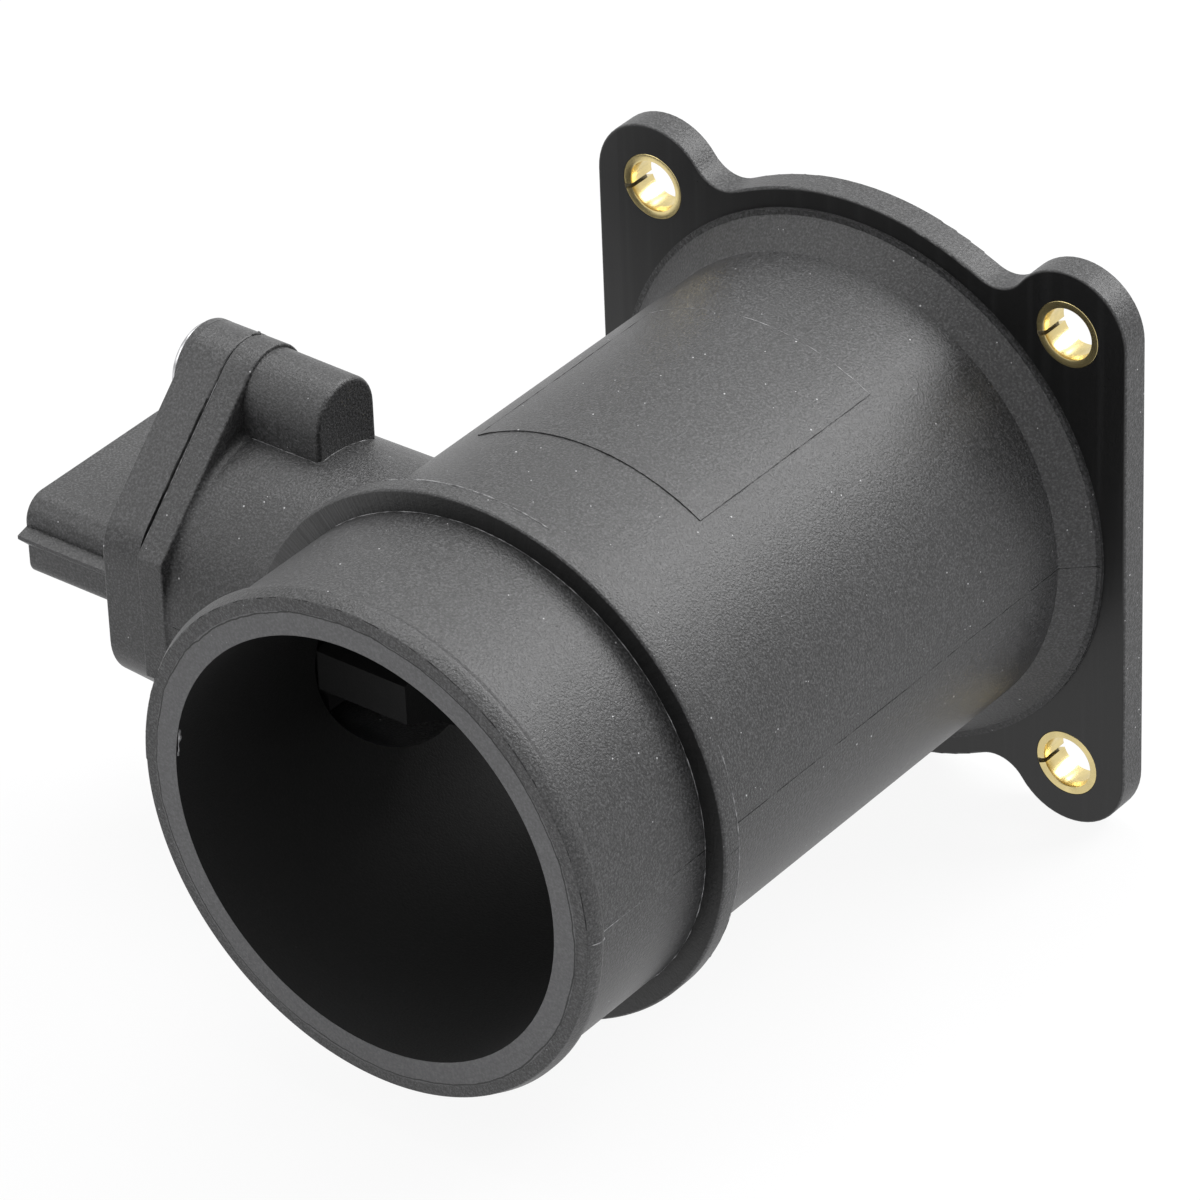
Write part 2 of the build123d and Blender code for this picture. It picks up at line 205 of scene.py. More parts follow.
class Finish(Maker):
    """A procedural material."""

    def __init__(self, name, **constants):
        self.material = bpy.data.materials.new(name)
        self.material.use_nodes = True
        super().__init__(self.material.node_tree)
        self.shader = self.add("ShaderNodeBsdfPrincipled", output=None)
        self.output = self.add("ShaderNodeOutputMaterial", output=None)
        for socket, value in constants.items():
            self.shader.inputs[socket.replace("_", " ")].default_value = value
        self.place = self.add("ShaderNodeTexCoord", output="Object")
        axes = self.add("ShaderNodeSeparateXYZ", inputs={0: self.place}, output=None)
        self.x, self.y, self.z = (Wire(self, s) * 1000.0 for s in axes.outputs)
        self.radius = (self.x * self.x + self.z * self.z).power(0.5)

    def noise(self, per_mm, detail=2.0, rough=0.5, stretch=(1, 1, 1), where=None):
        """Cloudy noise between 0 and 1, that many waves to a millimetre."""
        scale = tuple(1000.0 * per_mm * s for s in stretch)
        mapped = {"Vector": where or self.place, "Scale": scale}
        vector = self.add("ShaderNodeMapping", None, mapped)
        inputs = {"Vector": vector, "Scale": 1.0, "Detail": detail, "Roughness": rough}
        return self.add("ShaderNodeTexNoise", None, inputs)

    def spokes(self, count):
        """Noise that runs out from the duct axis, about that many streaks to a turn."""
        inputs = {0: self.x / self.radius, 1: self.y * MM, 2: self.z / self.radius}
        where = self.add("ShaderNodeCombineXYZ", None, inputs)
        return self.noise(count / UNIT_CIRCLE_MM, detail=3.0, where=where)

    def specks(self, cell, size, chance):
        """Small round spots, one to a cell at most. The cell and the size are in millimetres."""
        settings = {"voronoi_dimensions": "3D", "feature": "F1"}
        inputs = {"Vector": self.place, "Scale": 1000.0 / cell}
        cells = self.add("ShaderNodeTexVoronoi", settings, inputs, output=None)
        away = Wire(self, cells.outputs["Distance"]) * cell
        colour = Wire(self, cells.outputs["Color"])
        pick = self.add("ShaderNodeSeparateColor", None, {0: colour}, output=None)
        kept = Wire(self, pick.outputs[0]) < chance
        reach = Wire(self, pick.outputs[1]) * size * 0.6 + size * 0.4
        return (1.0 - (away / reach).ramp(0.75, 1.0)) * kept

    def band(self, value, low, high):
        """1 where a value lies between two limits."""
        return (value > low) * (value < high)

    def mix(self, factor, first, second):
        """Blend of two colours."""
        inputs = {0: factor, 6: first, 7: second}
        return self.add("ShaderNodeMix", {"data_type": "RGBA"}, inputs, output=2)

    def bump(self, height, depth):
        """Bump from a height between 0 and 1, its depth in millimetres."""
        return self.add("ShaderNodeBump", None, {"Height": height, "Distance": depth * MM})

    def use(self, colour, rough, normal):
        """Links the three wires that vary and returns the material."""
        wires = {"Base Color": colour, "Roughness": rough, "Normal": normal}
        for socket, wire in wires.items():
            self.tree.links.new(wire.socket, self.shader.inputs[socket])
        return self.show(Wire(self, self.shader.outputs[0]))

    def show(self, shader):
        """Puts a shader on the output and returns the material."""
        self.tree.links.new(shader.socket, self.output.inputs[0])
        return self.material


def moulded_skin(finish, tone, roughness, dust):
    """Colour, roughness and height of black filled plastic: fine erosion, fibre specks and dust."""
    cloud = finish.noise(0.05, detail=3.0)
    fine = finish.noise(3.1, detail=2.0, rough=0.6)
    fibres = finish.specks(cell=0.55, size=0.11, chance=0.35)
    specks = finish.specks(cell=0.8, size=0.15, chance=dust)
    colour = finish.mix(cloud.ramp(0.3, 0.7), grey(tone * 0.88), grey(tone * 1.12))
    colour = finish.mix(fine.ramp(0.50, 0.68) * 0.8, colour, grey(tone * 2.6))
    colour = finish.mix(fine.ramp(0.50, 0.34) * 0.7, colour, grey(tone * 0.25))
    colour = finish.mix(fibres * 0.45, colour, grey(0.2))
    colour = finish.mix(specks, colour, grey(0.5))
    rough = cloud * 0.1 + fine * 0.3 + (roughness - 0.2)
    return colour, rough, fine


def flange_face(finish, colour):
    """Mask of the flange's front face, and the colour with its smooth black, paler at the left edge."""
    face = finish.band(finish.y, FLANGE_FRONT_Y - 0.1, FLANGE_FRONT_Y + 0.05)
    face = face * (finish.radius > STEP_R + 0.05)
    streaks = finish.noise(0.8, detail=3.0, stretch=(1, 1, 0.03))
    polished = finish.mix(streaks.ramp(0.5, 0.8), grey(0.005), grey(0.014))
    left_strip = (finish.x < FLANGE_LEFT_STRIP_X) * 0.5
    polished = finish.mix(left_strip, polished, grey(0.018))
    return face, finish.mix(face, colour, polished)


def collar_face(finish, colour):
    """Mask of the collar's front face, and the colour with its fine spokes, with painted light making it
    paler towards the left and painted shade darkening the right.
    """
    face = finish.band(finish.y, COLLAR_FRONT_Y - 0.03, COLLAR_FRONT_Y + 0.03)
    face = face * (finish.radius > SPIGOT_R)
    grain = finish.spokes(900).ramp(0.35, 0.75)
    # Painted light and shade: near black on the right, in the spigot's shade, and paler on the left, where
    # the left lamp falls
    painted_shade_side = finish.mix(grain, grey(0.002), grey(0.008))
    painted_light_side = finish.mix(grain, grey(0.012), grey(0.06))
    turned_face = finish.mix(finish.x.ramp(*SHADE_TO_LIGHT_X), painted_shade_side, painted_light_side)
    return face, finish.mix(face, colour, turned_face)


def mouth_face(finish, colour, height):
    """Mask of the face round the mouth, and the colour with its bare grey and a dark line of painted shadow
    round it, where a small step is.
    """
    face = (finish.y < MOUTH_Y + 0.03) * (finish.radius > BORE_R)
    colour = finish.mix(face * 0.6, colour, finish.mix(height, grey(0.09), grey(0.19)))
    # Painted shadow: a dark wavy line round the mouth stands in for the shadow of a small step
    slow_wave, quick_wave = finish.noise(0.12) - 0.5, finish.noise(0.9) - 0.5
    wavy_radius = finish.radius + slow_wave * 0.9 + quick_wave * 0.3
    edge = finish.band(wavy_radius, MOUTH_EDGE_R, MOUTH_EDGE_R + MOUTH_EDGE_WIDTH)
    edge = edge * (finish.y < MOUTH_Y + 0.2)
    return face, finish.mix(edge * 0.9, colour, grey(0.003))


def housing_plastic():
    """The duct: eroded outside, smooth black flange and collar faces, a bare grey mouth, and painted shade
    in the bore.
    """
    finish = Finish("housing_plastic", Specular_IOR_Level=0.45)
    colour, rough, height = moulded_skin(finish, tone=0.037, roughness=0.43, dust=0.04)
    flange, colour = flange_face(finish, colour)
    collar, colour = collar_face(finish, colour)
    mouth, colour = mouth_face(finish, colour, height)
    # Painted shade: the bore is painted near black for the shade inside the duct
    bore = (finish.radius < BORE_R + 0.05) * (finish.y > MOUTH_Y + 0.02)
    colour = finish.mix(bore * 0.97, colour, grey(0.003))
    rough = rough + bore * 0.25 + mouth * 0.15 - flange * 0.08
    height = height * (1.0 - mouth * 0.4 - flange * 0.9 - collar * 0.6 - bore * 0.5)
    return finish.use(colour, rough, finish.bump(height, 0.12))


def module_plastic():
    """The module: a smoother skin, and painted shade, near black, where the blade stands in the duct."""
    finish = Finish("module_plastic", Specular_IOR_Level=0.45)
    colour, rough, height = moulded_skin(finish, tone=0.040, roughness=0.42, dust=0.02)
    # Painted shade on the blade inside the duct
    inside = finish.x > BLADE_START_X
    colour = finish.mix(inside * 0.93, colour, grey(0.003))
    return finish.use(colour, rough + inside * 0.25, finish.bump(height, 0.06))


def lid_plastic():
    """The lids of the circuit chamber and of the bypass."""
    finish = Finish("lid_plastic", Specular_IOR_Level=0.35)
    colour, rough, height = moulded_skin(finish, tone=0.02, roughness=0.45, dust=0.01)
    return finish.use(colour, rough, finish.bump(height, 0.02))


def edge_flash():
    """Painted glint: light grey, broken, that stands in for the highlight on an edge that the mould leaves
    along a corner.
    """
    finish = Finish("edge_flash", Specular_IOR_Level=0.4)
    broken = finish.noise(0.9, detail=3.0)
    colour = finish.mix(broken.ramp(0.4, 0.65), grey(0.09), grey(0.40))
    return finish.use(colour, broken * 0.2 + 0.4, finish.bump(broken, 0.02))


def joint_shadow():
    """Dark line of a mould joint."""
    finish = Finish("joint_shadow", Specular_IOR_Level=0.2)
    broken = finish.noise(0.7, detail=2.0)
    colour = finish.mix(broken.ramp(0.45, 0.75), grey(0.004), grey(0.03))
    return finish.use(colour, broken * 0.2 + 0.6, finish.bump(broken, 0.01))


def shade(tone, factor):
    """A colour made darker by a factor."""
    return (*(c * factor for c in tone), 1.0)


def drawn_metal(name, tone, roughness, scratch_axis=(1, 0.04, 1)):
    """Metal with fine lines from drawing or turning."""
    finish = Finish(name, Metallic=1.0)
    lines = finish.noise(6.0, detail=2.0, stretch=scratch_axis)
    stain = finish.noise(0.4, detail=3.0)
    colour = finish.mix(stain.ramp(0.3, 0.75), shade(tone, 1.0), shade(tone, 0.8))
    colour = finish.mix(lines.ramp(0.55, 0.75) * 0.35, colour, shade(tone, 0.6))
    rough = lines * 0.15 + stain * 0.12 + (roughness - 0.12)
    return finish.use(colour, rough, finish.bump(lines, SCRATCH_DEPTH))


def screw_steel():
    """Zinc plated head, a little dull in patches."""
    finish = Finish("screw_steel", Metallic=1.0)
    patches = finish.noise(0.8, detail=3.0)
    colour = finish.mix(patches.ramp(0.35, 0.65), grey(0.38), grey(0.62))
    return finish.use(colour, patches * 0.15 + 0.22, finish.bump(patches, SCRATCH_DEPTH))


def seal_rubber():
    """The black seal, with a little bloom."""
    finish = Finish("seal_rubber", Specular_IOR_Level=0.4)
    bloom = finish.noise(0.6, detail=4.0)
    colour = finish.mix(bloom.ramp(0.4, 0.75), grey(0.012), grey(0.03))
    return finish.use(colour, bloom * 0.2 + 0.45, finish.bump(bloom, 0.01))


def board_ceramic():
    """Pale fired board with darker printed tracks."""
    finish = Finish("board_ceramic", Specular_IOR_Level=0.5)
    fired = finish.noise(1.5, detail=3.0)
    tracks = finish.noise(0.35, detail=0.0).ramp(0.56, 0.58)
    colour = finish.mix(fired, (0.80, 0.79, 0.74, 1.0), (0.70, 0.68, 0.62, 1.0))
    colour = finish.mix(tracks, colour, (0.42, 0.36, 0.26, 1.0))
    return finish.use(colour, fired * 0.2 + 0.3, finish.bump(tracks, 0.02))


def element_glass():
    """Glazed bobbin with its winding."""
    finish = Finish("element_glass", Coat_Weight=0.6, Coat_Roughness=0.05)
    inputs = {"Vector": finish.place, "Scale": WINDING_SCALE, "Distortion": 0.3}
    turns = finish.add("ShaderNodeTexWave", {"bands_direction": "Z"}, inputs)
    colour = finish.mix(turns, (0.74, 0.76, 0.72, 1.0), (0.50, 0.50, 0.47, 1.0))
    return finish.use(colour, turns * 0.2 + 0.15, finish.bump(turns, 0.01))


brass = drawn_metal("bush_brass", (0.80, 0.66, 0.32), 0.22)
tin = drawn_metal("terminal_tin", (0.70, 0.68, 0.62), 0.3, scratch_axis=(0.04, 1, 1))
pin_steel = drawn_metal("pin_steel", (0.62, 0.61, 0.60), 0.3, scratch_axis=(0.04, 1, 1))
base_metal = drawn_metal("base_aluminium", (0.72, 0.73, 0.74), 0.35, scratch_axis=(0.05, 1, 1))


# Rules for shapes, as Geometry Nodes


class Rule(Maker):
    """A Geometry Nodes tree with named sizes in millimetres and degrees."""

    def __init__(self, name, sizes, vectors=()):
        super().__init__(bpy.data.node_groups.new(name, "GeometryNodeTree"))
        sockets = [("Outline", "NodeSocketGeometry")]
        sockets += [(size, "NodeSocketFloat") for size in sizes]
        sockets += [(vector, "NodeSocketVector") for vector in vectors]
        for socket, kind in sockets:
            self.tree.interface.new_socket(socket, in_out="INPUT", socket_type=kind)
        self.tree.interface.new_socket("Piece", in_out="OUTPUT", socket_type="NodeSocketGeometry")
        self.given = self.add("NodeGroupInput", output=None)

    def take(self, name):
        """A named input as it is given."""
        return Wire(self, self.given.outputs[name])

    def metres(self, name):
        """A length, given in millimetres."""
        return self.take(name) * MM

    def radians(self, name):
        """An angle, given in degrees."""
        return self.take(name) * math.radians(1)

    def vector(self, x, y, z):
        """Three numbers as one vector."""
        return self.add("ShaderNodeCombineXYZ", None, {0: x, 1: y, 2: z})

    def line(self):
        """The given outline as a curve."""
        return self.add("GeometryNodeMeshToCurve", None, {"Mesh": self.take("Outline")})

    def close(self, geometry, material):
        """Ends the tree in Realize Instances and Set Material."""
        whole = self.add("GeometryNodeRealizeInstances", None, {"Geometry": geometry})
        inputs = {"Geometry": whole, "Material": material}
        dressed = self.add("GeometryNodeSetMaterial", None, inputs)
        self.add("NodeGroupOutput", None, {"Piece": dressed}, output=None)
        return self.tree


def line_rule(material):
    """A fine thread along the given line, unsteady in its course and its width."""
    rule = Rule("thread_on_surface", ["Width", "Step"], ["Wander"])
    inputs = {"Curve": rule.line(), "Length": rule.metres("Step")}
    path = rule.add("GeometryNodeResampleCurve", {"mode": "LENGTH"}, inputs)
    place = rule.add("GeometryNodeInputPosition")
    inputs = {"Vector": place, "Scale": WANDER_PER_METRE, "Detail": 2.0}
    shake = rule.add("ShaderNodeTexNoise", None, inputs, "Color")
    centred = {0: shake, 1: (0.5, 0.5, 0.5)}
    shake = rule.add("ShaderNodeVectorMath", {"operation": "SUBTRACT"}, centred)
    spread = {0: shake, 1: rule.take("Wander")}
    shake = rule.add("ShaderNodeVectorMath", {"operation": "MULTIPLY"}, spread)
    shake = rule.add("ShaderNodeVectorMath", {"operation": "SCALE"}, {0: shake, "Scale": MM})
    path = rule.add("GeometryNodeSetPosition", None, {"Geometry": path, "Offset": shake})
    inputs = {"Vector": place, "Scale": SWELL_PER_METRE, "Detail": 2.0}
    swell = rule.add("ShaderNodeTexNoise", None, inputs)
    inputs = {"Resolution": 6, "Radius": rule.metres("Width") * 0.5}
    ring = rule.add("GeometryNodeCurvePrimitiveCircle", None, inputs)
    width = swell.ramp(0.36, 0.6) * 0.85 + 0.15
    inputs = {"Curve": path, "Profile Curve": ring, "Scale": width, "Fill Caps": True}
    return rule.close(rule.add("GeometryNodeCurveToMesh", None, inputs), material)


def turned(rule, whole=True):
    """The outline swept round the Z axis: a full turn, or between two angles."""
    radius = rule.metres("Path radius")
    if whole:
        inputs = {"Resolution": FULL_TURN_POINTS, "Radius": radius}
        path = rule.add("GeometryNodeCurvePrimitiveCircle", None, inputs)
    else:
        inputs = {
            "Resolution": PART_TURN_POINTS,
            "Radius": radius,
            "Start Angle": rule.radians("Start angle"),
            "Sweep Angle": rule.radians("Sweep angle"),
        }
        path = rule.add("GeometryNodeCurveArc", {"mode": "RADIUS"}, inputs)
    path = rule.add("GeometryNodeSetCurveNormal", {"mode": "Z_UP"}, {"Curve": path})
    inputs = {"Curve": path, "Profile Curve": rule.line(), "Fill Caps": True}
    return rule.add("GeometryNodeCurveToMesh", None, inputs)


def along_duct(rule, geometry):
    """Turns the axis of a swept shape from Z to the duct axis."""
    turn = (math.radians(90), 0, 0)
    return rule.add("GeometryNodeTransform", None, {"Geometry": geometry, "Rotation": turn})


def ring_rule(material):
    """A whole turned ring round the duct."""
    rule = Rule("turned_ring", ["Path radius"])
    return rule.close(along_duct(rule, turned(rule)), material)


def sector_rule(material):
    """Part of a turned ring round the duct, between two angles."""
    rule = Rule("turned_sector", ["Path radius", "Start angle", "Sweep angle"])
    return rule.close(along_duct(rule, turned(rule, whole=False)), material)


def bush_rule(material):
    """A rolled bush, repeated at the corners of the bolt square."""
    rule = Rule("rolled_bushes", ["Path radius", "Start angle", "Sweep angle", "Bolt pitch"])
    pitch = rule.metres("Bolt pitch")
    inputs = {"Size X": pitch, "Size Y": pitch, "Vertices X": 2, "Vertices Y": 2}
    corners = rule.add("GeometryNodeMeshGrid", None, inputs)
    inputs = {"Points": corners, "Instance": turned(rule, whole=False)}
    bushes = rule.add("GeometryNodeInstanceOnPoints", None, inputs)
    return rule.close(along_duct(rule, bushes), material)


def ear_rim_rule(material):
    """A round rim, repeated at the two screws and turned to their axis."""
    rule = Rule("rims_round_screws", ["Path radius", "Screw y", "Screw z"])
    y, z = rule.metres("Screw y"), rule.metres("Screw z")
    lower, pitch = rule.vector(0.0, y, z * -1.0), rule.vector(0.0, 0.0, z * 2.0)
    inputs = {"Count": 2, "Start Location": lower, "Offset": pitch}
    screws = rule.add("GeometryNodeMeshLine", {"mode": "OFFSET"}, inputs)
    inputs = {"Points": screws, "Instance": turned(rule), "Rotation": (0, math.radians(-90), 0)}
    return rule.close(rule.add("GeometryNodeInstanceOnPoints", None, inputs), material)


# Pieces


def outline_mesh(name, lines, closed=False):
    """Edges along lists of points in millimetres."""
    points = []
    edges = []
    for line in lines:
        first = len(points)
        points += [tuple(c * MM for c in point) for point in line]
        edges += [(i, i + 1) for i in range(first, len(points) - 1)]
        if closed:
            edges.append((len(points) - 1, first))
    mesh = bpy.data.meshes.new(name)
    mesh.from_pydata(points, edges, [])
    return mesh


def grow(name, mesh, tree, sizes, replaced=()):
    """Runs a rule on an outline and keeps the result as a plain mesh."""
    seed = bpy.data.objects.new(name + "_outline", mesh)
    bpy.context.scene.collection.objects.link(seed)
    modifier = seed.modifiers.new("rule", "NODES")
    modifier.node_group = tree
    for socket in tree.interface.items_tree:
        if socket.in_out == "INPUT" and socket.name in sizes:
            modifier[socket.identifier] = sizes[socket.name]
    whole = seed.evaluated_get(bpy.context.evaluated_depsgraph_get())
    grown = bpy.data.meshes.new_from_object(whole)
    seed.modifiers.remove(modifier)
    bpy.data.objects.remove(seed)
    grown.name = name
    for polygon in grown.polygons:
        polygon.use_smooth = True
    grown.set_sharp_from_angle(angle=math.radians(25))
    piece = bpy.data.objects.new(name, grown)
    bpy.context.scene.collection.objects.link(piece)
    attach(piece, "root")
    if replaced:
        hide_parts(*replaced)


def dress(names, material):
    """A finish for CAD nodes that stay."""
    for name in names:
        mesh = nodes[name].data
        mesh.materials.clear()
        mesh.materials.append(material)


duct_skin = housing_plastic()
module_skin = module_plastic()
# Light grey paint that stands in for glints on edges and flash
glint_paint = edge_flash()
shadow = joint_shadow()
dress(["tube_housing"], duct_skin)
dress(["module_housing"], module_skin)
dress(["module_screw_upper", "module_screw_lower"], screw_steel())
dress([f"terminal_{i}" for i in range(1, 6)], tin)
dress([f"sensor_pin_{i}" for i in range(1, 5)], pin_steel)
dress(["base_plate"], base_metal)
dress(["circuit_cover", "bypass_cover"], lid_plastic())
dress(["module_o_ring"], seal_rubber())
dress(["circuit_board"], board_ceramic())
dress(["hot_wire_element", "cold_wire_element"], element_glass())


def turned_mesh(name, path_radius, points):
    """Outline of a turned piece from pairs of radius and height, put in the order that faces outwards."""
    area = sum(a[0] * b[1] - b[0] * a[1] for a, b in zip(points, points[1:] + points[:1]))
    ordered = points if area > 0 else points[::-1]
    return outline_mesh(name, [[(r - path_radius, y, 0) for r, y in ordered]], closed=True)


def flange_bushes():
    """The four rolled bushes, open along a slit and bevelled at the front."""
    slit_degrees = math.degrees(BUSH_SLIT / BUSH_BORE_R)
    points = [
        (BUSH_BORE_R, 0),
        (BUSH_R, 0),
        (BUSH_R, FLANGE_FRONT_Y + 0.1),
        (BUSH_R - 0.1, FLANGE_FRONT_Y),
        (BUSH_BORE_R + 0.4, FLANGE_FRONT_Y),
        (BUSH_BORE_R + 0.12, FLANGE_FRONT_Y + 0.12),
        (BUSH_BORE_R, FLANGE_FRONT_Y + 0.5),
    ]
    sizes = {
        "Path radius": BUSH_BORE_R,
        "Start angle": BUSH_SLIT_ANGLE + slit_degrees / 2,
        "Sweep angle": 360 - slit_degrees,
        "Bolt pitch": 2 * BOLT_HALF,
    }
    corners = ("upper_left", "upper_right", "lower_left", "lower_right")
    names = ["flange_bush_" + corner for corner in corners]
    mesh = turned_mesh("bush_section", BUSH_BORE_R, points)
    grow("flange_bushes", mesh, bush_rule(brass), sizes, names)


def bead_outline(offset):
    """Radius and height of the hose bead, larger all round by an offset."""
    front_y = MOUTH_Y + 0.08 - offset * 0.2
    crest_start, crest_end, shoulder = (MOUTH_Y + length for length in (1.6, 2.4, 2.8))
    crest = BEAD_CREST_R + offset
    inner = MOUTH_EDGE_R - 0.05 - offset
    return [
        (inner, front_y),
        (BEAD_FRONT_R + offset * 0.4, front_y),
        (BEAD_FRONT_R + 0.14 + offset * 0.4, front_y + 0.12),
        (crest, crest_start),
        (crest, crest_end),
        (crest - 0.2, shoulder),
        (SPIGOT_R - 0.1, BEAD_REAR_Y + offset * 0.3),
        (inner, BEAD_REAR_Y - 0.5),
    ]


def hose_bead():
    """The bead, and its upper half that the mould leaves slightly larger, with a step at the joint."""
    mesh = turned_mesh("bead_section", BORE_R, bead_outline(0.0))
    grow("bead_ring", mesh, ring_rule(duct_skin), {"Path radius": BORE_R})
    mesh = turned_mesh("upper_bead_section", BORE_R, bead_outline(UPPER_HALF_OFFSET))
    sizes = {"Path radius": BORE_R, "Start angle": 0.0, "Sweep angle": 180.0}
    grow("bead_upper_half", mesh, sector_rule(duct_skin), sizes)


def hose_collar():
    """Collar ring with its soft front edge."""
    inner = TUBE_R - 0.5
    rim = COLLAR_RIM_R
    points = [
        (inner, COLLAR_FRONT_Y),
        (rim - 0.45, COLLAR_FRONT_Y),
        (rim - 0.22, COLLAR_FRONT_Y + 0.07),
        (rim - 0.07, COLLAR_FRONT_Y + 0.22),
        (rim, COLLAR_FRONT_Y + 0.45),
        (rim, COLLAR_REAR_Y - 0.12),
        (rim - 0.12, COLLAR_REAR_Y),
        (inner, COLLAR_REAR_Y),
    ]
    mesh = turned_mesh("collar_section", BORE_R, points)
    grow("collar_ring", mesh, ring_rule(duct_skin), {"Path radius": BORE_R})


def insert_pad():
    """Low pad that a mould insert leaves on top of the duct."""
    inner = TUBE_R - 0.3
    points = [
        (inner, PAD_FRONT_Y),
        (inner, PAD_REAR_Y),
        (TUBE_R + PAD_HEIGHT, PAD_REAR_Y),
        (TUBE_R + PAD_HEIGHT, PAD_FRONT_Y),
    ]
    sizes = {
        "Path radius": inner,
        "Start angle": 90 - PAD_HALF_ANGLE,
        "Sweep angle": 2 * PAD_HALF_ANGLE,
    }
    mesh = turned_mesh("pad_section", inner, points)
    grow("insert_pad", mesh, sector_rule(duct_skin), sizes)


def ear_rims():
    """Raised rims of the module's ears, round the screw heads."""
    inner = SCREW_HEAD_R + 0.08
    outer = EAR_R + 0.02
    top_x = OUTER_X - EAR_RIM_HEIGHT
    points = [
        (inner, OUTER_X + 0.5),
        (outer, OUTER_X + 0.5),
        (outer, top_x + 0.3),
        (outer - 0.09, top_x + 0.09),
        (outer - 0.3, top_x),
        (inner, top_x),
    ]
    mesh = turned_mesh("rim_section", inner, points)
    sizes = {"Path radius": inner, "Screw y": SCREW_Y, "Screw z": SCREW_Z}
    grow("ear_rims", mesh, ear_rim_rule(module_skin), sizes)


def arc(radius, y, first, last, step=3.0):
    """Points round the duct axis between two angles from +X towards +Z."""
    steps = max(1, round(abs(last - first) / step))
    angles = [math.radians(first + (last - first) * i / steps) for i in range(steps + 1)]
    return [(radius * math.cos(a), y, radius * math.sin(a)) for a in angles]


def threads(name, lines, width, wander, material):
    """Fine threads along lines on the surface."""
    sizes = {"Width": width, "Step": 0.35, "Wander": wander}
    mesh = outline_mesh(name + "_path", lines)
    grow(name, mesh, line_rule(material), sizes)


def pad_lines():
    """Outline of the insert pad: near, right, left and far side."""
    height = TUBE_R + PAD_HEIGHT
    near = arc(height, PAD_FRONT_Y, 90 - PAD_HALF_ANGLE, 90 + PAD_HALF_ANGLE)
    far = arc(height, PAD_REAR_Y, 90 - PAD_HALF_ANGLE, 90 + PAD_HALF_ANGLE)
    return near, [near[0], far[0]], [near[-1], far[-1]], far


def joint_lines():
    """Dark lines of the mould joint at mid height and round the insert pad."""
    bead = bead_outline(0.0)[1:7]
    collar = [
        (SPIGOT_R, COLLAR_FRONT_Y),
        (COLLAR_RIM_R - 0.3, COLLAR_FRONT_Y),
        (COLLAR_RIM_R, COLLAR_FRONT_Y + 0.4),
        (COLLAR_RIM_R, COLLAR_REAR_Y),
        (TUBE_R, COLLAR_REAR_Y),
    ]
    cone = [(TUBE_R, CONE_START_Y), (CONE_R, CONE_END_Y), (STEP_R, CONE_END_Y)]
    right = [(x, y, 0) for x, y in bead + collar + cone]
    reach = NECK_R + 0.25
    left_mouth = [(-x, y, 0) for x, y in bead] + [(-SPIGOT_R, NECK_Y - reach, 0)]
    left_rear = [(-TUBE_R, NECK_Y + reach, 0)] + [(-x, y, 0) for x, y in cone]
    neck = [(-SPIGOT_R, NECK_R + 0.23), (NECK_START_X + 1.0, NECK_R + 0.02)]
    neck_front = [(x, NECK_Y - u, 0) for x, u in neck]
    neck_rear = [(x, NECK_Y + u, 0) for x, u in neck]
    lines = [right, left_mouth, left_rear, neck_front, neck_rear, *pad_lines()[:3]]
    threads("joint_lines", lines, 0.10, (0.12, 0.12, 0.12), shadow)


def on_plate(corner, share, x):
    """Point on the front slope of the two plates, from its corner towards the upper ear."""
    return [x, *(a + (b - a) * share for a, b in zip(corner, PLATE_TANGENT))]


def edge_lines():
    """Dark front edge of the bead, and the open joint of the two plates."""
    crest = arc(BEAD_FRONT_R + 0.12, MOUTH_Y + 0.14, 4, 176)
    threads("bead_edge_line", [crest], 0.16, (0.4, 0.1, 0.4), shadow)
    gap = [on_plate(PLATE_CORNER, share, JOINT_X - 0.15) for share in (0.3, GAP_END)]
    threads("plate_gap", [gap], 0.42, (0.0, 0.1, 0.1), shadow)


def foot_z(y):
    """Height of the neck's surface under a screw boss."""
    return math.sqrt((NECK_R + 0.13) ** 2 - (y - NECK_Y) ** 2)


def painted_glint_edges():
    """Painted glints along edges: fine ones, and coarser ones on the flash at the steps of the bead and on
    the rim.
    """
    root = arc(SPIGOT_R + 0.05, COLLAR_FRONT_Y - 0.03, -70, 130)
    rim_low = arc(COLLAR_R + 0.02, COLLAR_REAR_Y, -30, 22)
    rim_top = arc(COLLAR_R + 0.02, COLLAR_REAR_Y, 75, 118)
    bead = arc(SPIGOT_R + 0.3, BEAD_REAR_Y + 0.02, -70, 25)
    seam = [(SPIGOT_R + 0.02, BEAD_REAR_Y + length, -0.12) for length in (0, SEAM_LENGTH)]
    corner = (PLATE_CORNER[0] - 0.65, PLATE_CORNER[1] - 0.65)
    lip = [on_plate(corner, share, JOINT_X + 0.22) for share in (0.0, GAP_END + 0.1)]
    far = pad_lines()[3]
    side_y = SCREW_Y - BOSS_R
    foot = [(x, side_y, foot_z(side_y)) for x in (NECK_START_X + 1.2, BOSS_END_X - 0.4)]
    front_x = BOSS_END_X + 0.08
    foot += [(front_x, y, foot_z(y) + 0.05) for y in (side_y + 0.6, -64, -61, -58, -55.6)]
    fine_lines = [root, rim_low, bead, seam, lip, far, foot]
    # Painted glints along the fine edges
    threads("painted_glint_edges", fine_lines, 0.13, (0.1, 0.1, 0.1), glint_paint)
    edge = [(r, max(y, MOUTH_Y + 0.3)) for r, y in bead_outline(UPPER_HALF_OFFSET)[1:6]]
    step = [(r, y, -0.08) for r, y in edge]
    notch = [(-r, y, 0.08) for r, y in edge[:3]]
    # Painted glints on the flash at the bead's steps and on the collar rim
    threads("glinting_flash_edges", [step, notch, rim_top], 0.22, (0.15, 0.15, 0.15), glint_paint)


